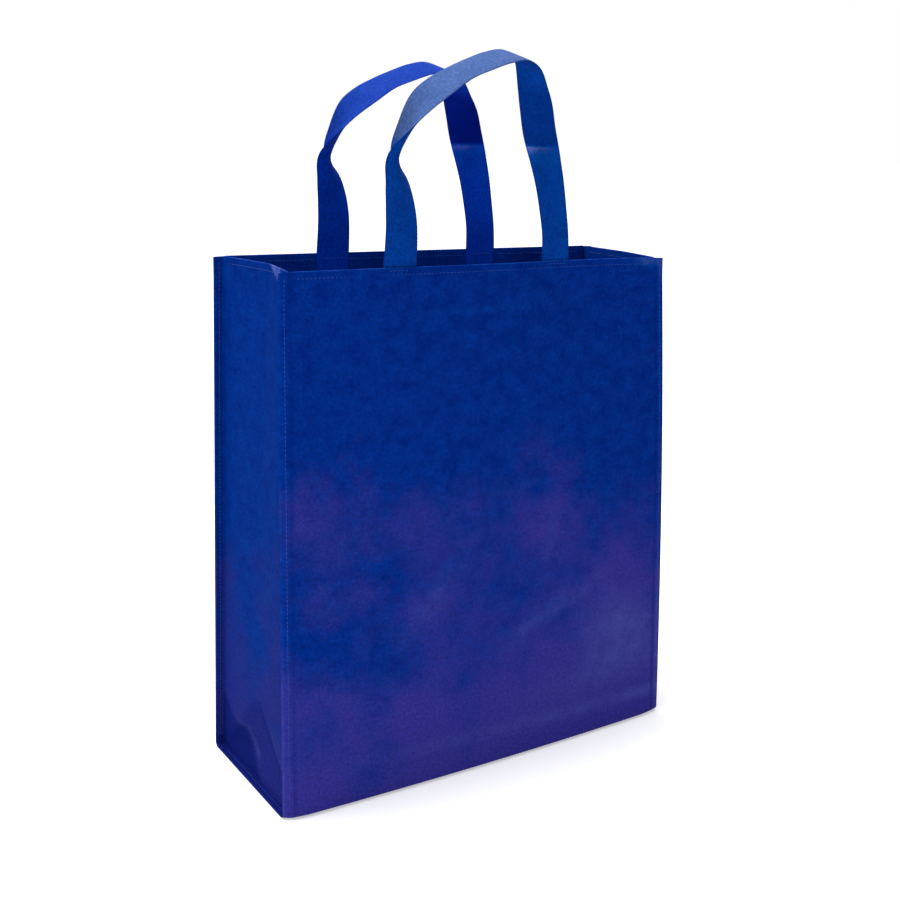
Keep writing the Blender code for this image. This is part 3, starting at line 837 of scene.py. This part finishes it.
def tape_frame(face, rows):
    """A tape's middle line, half its width as a vector, its face's normal, how deep it is cupped,
    and the run along it."""
    depth = face * (WALL_Y - LAYER_STEP - FABRIC / 2 - LAYER_GAP - TAPE_THICKNESS / 2)
    half = LEG_SPACING[face] / 2
    middle = HANDLE_SHIFT[face]
    height = LOOP_HEIGHT[face]
    loop = [(middle + x * half, depth + lean * height, BAG_HEIGHT + z * height, turn, slope, cup)
            for x, lean, z, turn, slope, cup in LOOP_STATIONS]
    end_z = BAG_HEIGHT - TAPE_SEWN_LENGTH
    mid_z = (end_z + BAG_HEIGHT) / 2
    start = [(middle - half, depth, z, 0, 0, 0) for z in (end_z, mid_z)]
    finish = [(middle + half, depth, z, 180, 0, 0) for z in (mid_z, end_z)]
    run, route = smooth_route([*start, *loop, *finish], rows)
    centre = route[:, :3]
    tangent = np.gradient(centre, axis=0)
    tangent /= np.linalg.norm(tangent, axis=1)[:, None]
    turn = np.radians(route[:, 3])
    slope = np.radians(route[:, 4])
    ruling = np.stack([np.cos(turn) * np.cos(slope), np.sin(turn) * np.cos(slope), np.sin(slope)], axis=1)
    normal = np.cross(ruling, tangent)
    square = np.linalg.norm(normal, axis=1)
    normal /= square[:, None]
    cup = route[:, 5]
    narrowed = (1 - cup * cup * 8 / 3) / np.maximum(square, LEAST_SQUARE)
    half_width = ruling * (TAPE_WIDTH / 2 * narrowed)[:, None]
    return centre, half_width, normal, TAPE_WIDTH * cup, run


def tape_painted_light(run, share, face):
    """How pale (above 0) or deep (below 0) a tape is painted, by the run along it and the share of
    its half width: a painted highlight just below the fold line across the right leg, painted shade
    above it, and painted shade at its rounded edges."""
    fold = run[-1] - TAPE_SEWN_LENGTH - LEG_FOLD_HEIGHT
    past = run[:, None] - fold + LEG_FOLD_SLANT * share[None, :]
    below = growing(past, 0.0, LEG_FOLD_EDGE) * np.exp(-np.maximum(past, 0.0) / LEG_FOLD_REACH)
    above = fading(past, 0.0, LEG_FOLD_EDGE) * growing(past, *LEG_SHADE_START)
    uneven = LEG_FOLD_EVEN + (1 - LEG_FOLD_EVEN) * share[None, :]
    edges = growing(np.abs(share), *TAPE_EDGE)[None, :]
    wear_or_painted_light = LEG_FOLD_HIGHLIGHT * below * uneven - LEG_SHADE[face] * above - TAPE_EDGE_SHADE * edges
    return np.clip(wear_or_painted_light, -1, 1)


def make_handle(name, node, face, material):
    """A tape: a flat section with rounded edges carried along its route. Half the thickness at a
    share s of the half width is T/2 times the root of 1 - s^6. Its inner face is marked lit along
    the arch, where it lies uppermost."""
    centre, half_width, normal, bow, run = tape_frame(face, TAPE_ROWS)
    across = np.sin(np.linspace(-np.pi / 2, np.pi / 2, TAPE_COLUMNS))
    thick = TAPE_THICKNESS / 2 * np.sqrt(np.clip(1 - np.abs(across) ** 6, 0, 1))
    share = np.concatenate([across, across[1:-1][::-1]])
    offset = np.concatenate([thick, -thick[1:-1][::-1]])
    out = offset[None, :] + bow[:, None] * (0.5 - share[None, :] ** 2)
    flat = centre[:, None, :] + half_width[:, None, :] * share[None, :, None]
    points = flat + normal[:, None, :] * out[..., None]
    count = len(share)
    faces = [tuple(corners) for corners in grid_faces(TAPE_ROWS, count, wrap=True)[:, ::-1]]
    faces.append(tuple(range(count)))
    faces.append(tuple(range((TAPE_ROWS - 1) * count, TAPE_ROWS * count))[::-1])
    sideways = share * TAPE_WIDTH / 2 + (offset < 0) * TAPE_BACK_SHIFT
    uv = np.stack([np.repeat(sideways[None, :], TAPE_ROWS, axis=0),
                   np.repeat(run[:, None], count, axis=1)], axis=-1)
    on_arch = growing(run, *ARCH_START) * fading(run, *ARCH_END)
    # Painted highlight and shade along the tape, and painted light on the arch's inner face
    marks = {"wear_or_painted_light": tape_painted_light(run, share, face), "lit": on_arch[:, None] * (offset < 0)[None, :]}
    piece = make_sheet(name, settle(points), faces, uv, marks, 0, material)
    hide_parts(node)


def stitch_row(path, axis, turn):
    """Stitches along a path laid out on the plain box, on a face that looks along one axis, turned
    to + or -. Each is a thin thread, six-sided and closed at the ends, that rises from the cloth as
    half a sine and goes down again."""
    path = settle(path)
    up = np.zeros(3)
    up[axis] = turn
    run = run_along(path)
    count = int((run[-1] - STITCH_PITCH) / STITCH_PITCH)
    starts = STITCH_PITCH * (0.5 + np.arange(count))
    t = np.linspace(0, 1, 5)
    where = starts[:, None] + STITCH_LENGTH * t[None, :]
    centre = np.stack([np.interp(where, run, column) for column in path.T], axis=-1)
    along = np.gradient(centre, axis=1)
    along /= np.linalg.norm(along, axis=-1, keepdims=True)
    beside = np.cross(along, up)
    radius = THREAD_RADIUS * np.array([0.25, 0.9, 1.0, 0.9, 0.25])
    lift = THREAD_RADIUS * (0.9 * np.sin(np.pi * t) - 0.3)
    angle = np.linspace(0, 2 * np.pi, 6, endpoint=False)[:, None]
    ring = beside[:, :, None, :] * np.cos(angle) + up * np.sin(angle)
    raised = centre + up * lift[:, None]
    return raised[:, :, None, :] + ring * radius[:, None, None]


def make_stitches(name, rows, material):
    """All of a seam's stitches as one mesh. Each stitch is a small closed tube."""
    points = np.concatenate(rows)
    stitches, rings, sides = points.shape[:3]
    one = grid_faces(rings, sides, wrap=True)
    ends = [tuple(range(sides))[::-1], tuple(range((rings - 1) * sides, rings * sides))]
    start = np.arange(stitches) * rings * sides
    tubes = (one[None] + start[:, None, None]).reshape(-1, 4).tolist()
    caps = [[corner + first for corner in end] for first in start.tolist() for end in ends]
    new_piece(name, points, tubes + caps, material)


def seam_rows():
    """Stitches down the four margins and along the two bottom margins, on both faces."""
    rows = []
    seam_x = HALF_WIDTH - FLANGE_SEAM_INSET
    inner_y = WALL_Y - LAYER_STEP - FABRIC / 2
    top_z = BAG_HEIGHT - FLANGE_SEAM_TOP
    foot_z = FOOT_Z + FLANGE_SEAM_FOOT
    base_z = FLOOR_Z + LAYER_STEP + FABRIC / 2
    for side in (-1, 1):
        x = side * seam_x
        for face in (-1, 1):
            for y, turn in ((face * HALF_DEPTH, face), (face * inner_y, -face)):
                rows.append(stitch_row(np.linspace((x, y, top_z), (x, y, foot_z), 200), 1, turn))
        base = np.linspace((x, -BASE_SEAM_END, base_z), (x, BASE_SEAM_END, base_z), 60)
        rows.append(stitch_row(base, 2, 1))
    return rows


def hem_rows():
    """One line of stitches round the top, just under the edge, on the outer and the inner face."""
    rows = []
    z = BAG_HEIGHT - HEM_SEAM_DROP
    end_x = SEAM_X - HEM_SEAM_END["strip"]
    end_y = WALL_Y - HEM_SEAM_END["gusset"]
    for face in (-1, 1):
        for depth, turn in ((HALF_DEPTH, face), (HALF_DEPTH - LAYER_STEP - FABRIC, -face)):
            y = face * depth
            rows.append(stitch_row(np.linspace((-end_x, y, z), (end_x, y, z), 200), 1, turn))
    y = np.linspace(-end_y, end_y, 80)
    for side in (-1, 1):
        for inset, turn in ((-FABRIC / 2, side), (LAYER_STEP + FABRIC / 2, -side)):
            x = SEAM_X - inset + gusset_push(y, np.full_like(y, z), side)
            rows.append(stitch_row(np.stack([side * x, y, np.full_like(y, z)], axis=-1), 0, turn))
    return rows


def handle_rows():
    """A short second line over each sewn handle end on the outside, and two on the tape inside."""
    rows = []
    inner = HALF_DEPTH - 2 * FABRIC - 2 * LAYER_GAP - TAPE_THICKNESS - FABRIC / 2
    lines = {"outside": (HALF_DEPTH, 1), "inside top": (inner, -1), "inside low": (inner, -1)}
    for face in (-1, 1):
        for leg in (-1, 1):
            x = HANDLE_SHIFT[face] + leg * LEG_SPACING[face] / 2
            for place, (depth, turn) in lines.items():
                y = face * depth
                z = BAG_HEIGHT - HANDLE_SEAM_DROP[place]
                ends = (x - HANDLE_SEAM_REACH, y, z), (x + HANDLE_SEAM_REACH, y, z)
                rows.append(stitch_row(np.linspace(*ends, 60), 1, turn * face))
    return rows


def join(tree, value, socket):
    """Link a node's output to a socket, or set a plain number on it."""
    if hasattr(value, "is_output"):
        tree.links.new(value, socket)
    elif value is not None:
        socket.default_value = value


def new_material(name):
    """A material, its node tree and its main shader."""
    material = bpy.data.materials.new(name)
    material.use_nodes = True
    return material, material.node_tree, material.node_tree.nodes["Principled BSDF"]


def add_math(tree, operation, a, b=None, c=None):
    """The result of a Math node. a, b and c are numbers or other nodes' outputs."""
    node = tree.nodes.new("ShaderNodeMath")
    node.operation = operation
    for value, socket in zip((a, b, c), node.inputs):
        join(tree, value, socket)
    return node.outputs[0]


def add_centred(tree, value, gain, base):
    """The base plus gain times how far a noise value is from its middle."""
    return add_math(tree, "MULTIPLY_ADD", add_math(tree, "SUBTRACT", value, 0.5), gain, base)


def add_mix(tree, factor, a, b, blend="MIX"):
    """A colour between a and b, by the factor."""
    node = tree.nodes.new("ShaderNodeMix")
    node.data_type = "RGBA"
    node.blend_type = blend
    join(tree, factor, node.inputs["Factor"])
    join(tree, a, node.inputs[6])
    join(tree, b, node.inputs[7])
    return node.outputs[2]


def add_noise(tree, vector, scale, detail=2.0, roughness=0.5):
    """Noise from 0 to 1 over a place in metres."""
    node = tree.nodes.new("ShaderNodeTexNoise")
    node.inputs["Scale"].default_value = scale
    node.inputs["Detail"].default_value = detail
    node.inputs["Roughness"].default_value = roughness
    join(tree, vector, node.inputs["Vector"])
    return node.outputs["Fac"]


def add_range(tree, value, given=(0.0, 1.0), wanted=(0.0, 1.0), kind="LINEAR"):
    """A value carried from the given range to the wanted one, and held at its ends."""
    node = tree.nodes.new("ShaderNodeMapRange")
    node.interpolation_type = kind
    for name, end in zip(("From Min", "From Max", "To Min", "To Max"), (*given, *wanted)):
        node.inputs[name].default_value = end
    join(tree, value, node.inputs["Value"])
    return node.outputs[0]


def add_mark(tree, name):
    """One of the marks that make_sheet stores on a sheet."""
    node = tree.nodes.new("ShaderNodeAttribute")
    node.attribute_name = name
    return node.outputs["Fac"]


def add_split(tree, vector):
    """A vector's X, Y and Z."""
    node = tree.nodes.new("ShaderNodeSeparateXYZ")
    join(tree, vector, node.inputs[0])
    return node.outputs


def build_nonwoven_group():
    """Spunbonded cloth, from a place in metres. Bond points are small pressed ovals in a diamond
    lattice: two slanted coordinates, each a fraction of the pitch, and the distance from the middle
    of the cell. Fibres are fine noise, Flecks are small knots of fibre a few millimetres apart, and
    Cloud is how thick the web is from place to place."""
    tree = bpy.data.node_groups.new("Nonwoven cloth", "ShaderNodeTree")
    face = tree.interface
    face.new_socket("Vector", in_out="INPUT", socket_type="NodeSocketVector")
    pitch = face.new_socket("Pitch", in_out="INPUT", socket_type="NodeSocketFloat")
    pitch.default_value = PLAIN_PITCH
    for name in ("Height", "Bonds", "Fibres", "Flecks", "Cloud"):
        face.new_socket(name, in_out="OUTPUT", socket_type="NodeSocketFloat")
    given = tree.nodes.new("NodeGroupInput")
    made = tree.nodes.new("NodeGroupOutput")
    place = given.outputs["Vector"]
    split = add_split(tree, place)
    u = add_math(tree, "DIVIDE", split[0], given.outputs["Pitch"])
    v = add_math(tree, "DIVIDE", split[1], given.outputs["Pitch"])
    cell = []
    for operation in ("ADD", "SUBTRACT"):
        slanted = add_math(tree, operation, u, v)
        centred = add_math(tree, "SUBTRACT", add_math(tree, "FRACT", slanted), 0.5)
        cell.append(add_math(tree, "MULTIPLY", centred, centred))
    distance = add_math(tree, "SQRT", add_math(tree, "ADD", cell[0], cell[1]))
    bonds = add_math(tree, "MULTIPLY_ADD", distance, -BOND_SHARPNESS, BOND_SIZE)
    bonds = add_math(tree, "SMOOTH_MIN", bonds, 1.0, BOND_ROUNDING)
    bonds = add_math(tree, "MAXIMUM", bonds, 0.0)
    fibres = add_noise(tree, place, FIBRE_SCALE, 2.0, 0.6)
    flecks = add_noise(tree, place, FLECK_SCALE, 2.0, 0.6)
    cloud = add_noise(tree, place, CLOUD_SCALE, 4.0, 0.70)
    height = add_math(tree, "MULTIPLY_ADD", bonds, -1.0, 1.0)
    height = add_centred(tree, fibres, FIBRE_RELIEF, height)
    height = add_centred(tree, cloud, CLOUD_RELIEF, height)
    results = {"Height": height, "Bonds": bonds, "Fibres": fibres, "Flecks": flecks, "Cloud": cloud}
    for name, value in results.items():
        tree.links.new(value, made.inputs[name])
    return tree


def add_smooth_face(tree, cut, thick, colour, smooth):
    """Painted light on a tape's arch, paler and faintly ribbed, where its mark says that the light falls
    on it.
    """
    across = add_split(tree, cut)
    ribs = add_math(tree, "ADD", across[0], add_math(tree, "MULTIPLY", across[1], RIB_SLANT))
    ribs = add_math(tree, "SINE", add_math(tree, "MULTIPLY", ribs, 2 * np.pi / RIB_PITCH))
    ribbed = add_math(tree, "MULTIPLY_ADD", ribs, RIB_CONTRAST, thick)
    return add_mix(tree, add_mark(tree, "lit"), colour, add_mix(tree, ribbed, *smooth))


def add_floor_reflection_share(tree):
    """How far a panel's low colour, a painted reflection of the floor, has taken over: more towards the
    floor and the right, shifted by broad noise and by the mark that moves the reflection."""
    place = tree.nodes.new("ShaderNodeTexCoord").outputs["Object"]
    split = add_split(tree, place)
    reach = add_math(tree, "MULTIPLY_ADD", split[2], REFLECTION_BY_HEIGHT, REFLECTION_AT_FLOOR)
    reach = add_math(tree, "MULTIPLY_ADD", split[0], REFLECTION_TO_RIGHT, reach)
    reach = add_math(tree, "ADD", reach, add_mark(tree, "reflection_shift"))
    drift = add_centred(tree, add_noise(tree, place, BROAD_SCALE, 6.0, 0.66), REFLECTION_DRIFT, reach)
    return add_range(tree, drift, kind="SMOOTHSTEP")


def make_cloth_material(name, group, look):
    """Blue non-woven cloth. Its plain and clear blue mix by how thick the web is, a tape has painted
    light on its arch, and a panel's low colour, a painted reflection of the floor, takes over towards
    the foot. Fibres, bond points and flecks shade it. Then rubbed places and painted highlights turn
    pale, and painted shade turns dark."""
    material, tree, shader = new_material(name)
    cut = tree.nodes.new("ShaderNodeUVMap")
    cut.uv_map = "cut"
    cloth = tree.nodes.new("ShaderNodeGroup")
    cloth.node_tree = group
    cloth.inputs["Pitch"].default_value = look["pitch"]
    tree.links.new(cut.outputs[0], cloth.inputs["Vector"])
    bonds, fibres, flecks = (cloth.outputs[part] for part in ("Bonds", "Fibres", "Flecks"))
    thick = add_range(tree, cloth.outputs["Cloud"], given=THICK_WEB)
    wear_or_painted_light = add_mark(tree, "wear_or_painted_light")

    colour = add_mix(tree, thick, look["plain"], look["clear"])
    fibre_shows = add_math(tree, "MULTIPLY_ADD", wear_or_painted_light, FIBRE_SHOWS, FIBRE_HOLDS)
    if look["smooth"] is not None:
        colour = add_smooth_face(tree, cut.outputs[0], thick, colour, look["smooth"])
    # The low colour is a painted reflection of the floor
    if look["low"] is not None:
        low = add_floor_reflection_share(tree)
        colour = add_mix(tree, low, colour, look["low"])
        fibre_shows = add_math(tree, "MAXIMUM", fibre_shows, low)
    shade = add_centred(tree, fibres, FIBRE_SHADE, 1.0)
    shade = add_math(tree, "MULTIPLY_ADD", bonds, BOND_SHADE, shade)
    shade = add_centred(tree, flecks, FLECK_SHADE, shade)
    colour = add_mix(tree, 1.0, colour, shade, "MULTIPLY")

    pale_by_web = add_math(tree, "MULTIPLY_ADD", thick, PALE_WHERE_THICK, PALE_WHERE_THIN)
    pale = add_math(tree, "MULTIPLY", add_math(tree, "MULTIPLY", wear_or_painted_light, pale_by_web), look["wear_or_highlight"])
    fibre_shows = add_math(tree, "MINIMUM", add_math(tree, "MAXIMUM", fibre_shows, 0.0), 1.0)
    rubbed_or_lit = add_mix(tree, fibre_shows, PALE_BLUE, PALE_FIBRE)
    colour = add_mix(tree, add_math(tree, "MAXIMUM", pale, 0.0), colour, rubbed_or_lit)
    # Painted shade darkens the colour towards the deep one
    deep = add_math(tree, "MAXIMUM", add_math(tree, "MULTIPLY", wear_or_painted_light, -1.0), 0.0)
    colour = add_mix(tree, deep, colour, look["deep"])
    tree.links.new(colour, shader.inputs["Base Color"])

    rough = add_math(tree, "MULTIPLY_ADD", bonds, BOND_ROUGHNESS, look["roughness"])
    rough = add_math(tree, "MULTIPLY_ADD", fibres, FIBRE_ROUGHNESS, rough)
    tree.links.new(rough, shader.inputs["Roughness"])
    relief = tree.nodes.new("ShaderNodeBump")
    relief.inputs["Strength"].default_value = RELIEF_STRENGTH
    relief.inputs["Distance"].default_value = RELIEF_DEPTH
    tree.links.new(cloth.outputs["Height"], relief.inputs["Height"])
    tree.links.new(relief.outputs[0], shader.inputs["Normal"])
    shader.inputs["Specular IOR Level"].default_value = look["gloss"]
    shader.inputs["Sheen Weight"].default_value = look["sheen"]
    shader.inputs["Sheen Roughness"].default_value = SHEEN_ROUGHNESS
    shader.inputs["Sheen Tint"].default_value = SHEEN_TINT
    return material


def make_thread_material():
    """Matt spun thread: blue, with darker turns of twist as fine noise."""
    material, tree, shader = new_material("Blue sewing thread")
    place = tree.nodes.new("ShaderNodeTexCoord")
    twist = add_noise(tree, place.outputs["Object"], TWIST_SCALE, 1.0, 0.5)
    tree.links.new(add_mix(tree, twist, THREAD_DARK, THREAD_LIGHT), shader.inputs["Base Color"])
    rough = add_math(tree, "MULTIPLY_ADD", twist, 0.2, 0.45)
    tree.links.new(rough, shader.inputs["Roughness"])
    return material


def make_floor():
    """A pale floor that reads as white and keeps the bag's shadow: diffuse white, with a light of
    its own that only the camera sees and that grows away from the bag."""
    mesh = bpy.data.meshes.new("studio_floor")
    sides = ((-1, -1), (1, -1), (1, 1), (-1, 1))
    corners = [(x * FLOOR_REACH, y * FLOOR_REACH, -FLOOR_DROP) for x, y in sides]
    mesh.from_pydata(corners, [], [(0, 1, 2, 3)])
    floor = bpy.data.objects.new("studio_floor", mesh)
    bpy.context.scene.collection.objects.link(floor)
    material, tree, shader = new_material("Pale studio floor")
    shader.inputs["Roughness"].default_value = 0.9
    shader.inputs["Specular IOR Level"].default_value = 0.0
    place = tree.nodes.new("ShaderNodeTexCoord").outputs["Object"]
    grain = add_noise(tree, place, 40.0, 3.0, 0.5)
    tree.links.new(add_mix(tree, grain, FLOOR_DARK, FLOOR_LIGHT), shader.inputs["Base Color"])
    away = tree.nodes.new("ShaderNodeVectorMath")
    away.operation = "LENGTH"
    tree.links.new(place, away.inputs[0])
    glow = add_range(tree, away.outputs["Value"], GLOW_DISTANCE, GLOW_STRENGTH, "SMOOTHSTEP")
    rays = tree.nodes.new("ShaderNodeLightPath")
    seen = add_math(tree, "MULTIPLY", rays.outputs["Is Camera Ray"], glow)
    shader.inputs["Emission Color"].default_value = WHITE
    tree.links.new(seen, shader.inputs["Emission Strength"])
    mesh.materials.append(material)


def unit(vector):
    """A vector's direction, one long."""
    return vector / np.linalg.norm(vector)


def axes_matrix(right, up, back, place):
    """The matrix of something at a place whose own X, Y and Z run right, up and back."""
    return Matrix([[right[k], up[k], back[k], place[k]] for k in range(3)] + [[0, 0, 0, 1]])


def make_lamp(name, place, aim, size, watts):
    """A white rectangular soft lamp at a place, turned to face a point."""
    data = bpy.data.lights.new(name, "AREA")
    data.shape = "RECTANGLE"
    data.size, data.size_y = size
    data.energy = watts
    lamp = bpy.data.objects.new(name, data)
    bpy.context.scene.collection.objects.link(lamp)
    away = unit(np.array(place) - np.array(aim))
    side = unit(np.cross((0.0, 0.0, 1.0), away))
    lamp.matrix_world = axes_matrix(side, np.cross(away, side), away, place)


def make_world():
    """Even studio light, and plain white wherever the camera, a gloss or a glass looks past it."""
    world = bpy.data.worlds.new("Studio")
    bpy.context.scene.world = world
    world.use_nodes = True
    tree = world.node_tree
    background = tree.nodes["Background"]
    background.inputs["Color"].default_value = WHITE
    rays = tree.nodes.new("ShaderNodeLightPath").outputs
    seen = add_math(tree, "MAXIMUM", rays["Is Camera Ray"], rays["Is Transmission Ray"])
    seen = add_math(tree, "MAXIMUM", seen, rays["Is Glossy Ray"])
    strength = add_math(tree, "MULTIPLY_ADD", seen, 1.0 - WORLD_STRENGTH, WORLD_STRENGTH)
    tree.links.new(strength, background.inputs["Strength"])


def make_camera():
    """The photograph's view: from the front left corner and a little above, slightly tipped."""
    turn, rise, tip = np.radians(CAMERA_ANGLES)
    back = np.array((np.sin(turn) * np.cos(rise), -np.cos(turn) * np.cos(rise), np.sin(rise)))
    right = unit(np.cross((0.0, 0.0, 1.0), back))
    up = np.cross(back, right)
    tipped_right = np.cos(tip) * right + np.sin(tip) * up
    tipped_up = np.cos(tip) * up - np.sin(tip) * right
    data = bpy.data.cameras.new("Camera")
    data.lens = CAMERA_LENS
    data.sensor_width = CAMERA_SENSOR
    data.clip_start = 0.01
    camera = bpy.data.objects.new("Camera", data)
    bpy.context.scene.collection.objects.link(camera)
    camera.matrix_world = axes_matrix(tipped_right, tipped_up, back, CAMERA_PLACE)
    bpy.context.scene.camera = camera


make_camera()
bpy.context.scene.view_settings.view_transform = "Standard"
make_world()
make_floor()
for lamp in LAMPS:
    make_lamp(*lamp)

nonwoven = build_nonwoven_group()
panel_cloth = make_cloth_material("Panel cloth", nonwoven, PANEL_LOOK)
gusset_cloth = make_cloth_material("Gusset cloth", nonwoven, GUSSET_LOOK)
front_tape_cloth = make_cloth_material("Front tape cloth", nonwoven, FRONT_TAPE_LOOK)
back_tape_cloth = make_cloth_material("Back tape cloth", nonwoven, BACK_TAPE_LOOK)
thread = make_thread_material()

make_body_strip(panel_cloth)
make_gusset("left_side", -1, "left_gusset", gusset_cloth)
make_gusset("right_side", 1, "right_gusset", gusset_cloth)
make_handle("front_tape", "front_handle", -1, front_tape_cloth)
make_handle("back_tape", "back_handle", 1, back_tape_cloth)
make_stitches("flange_stitches", seam_rows(), thread)
make_stitches("hem_stitches", hem_rows(), thread)
make_stitches("handle_stitches", handle_rows(), thread)
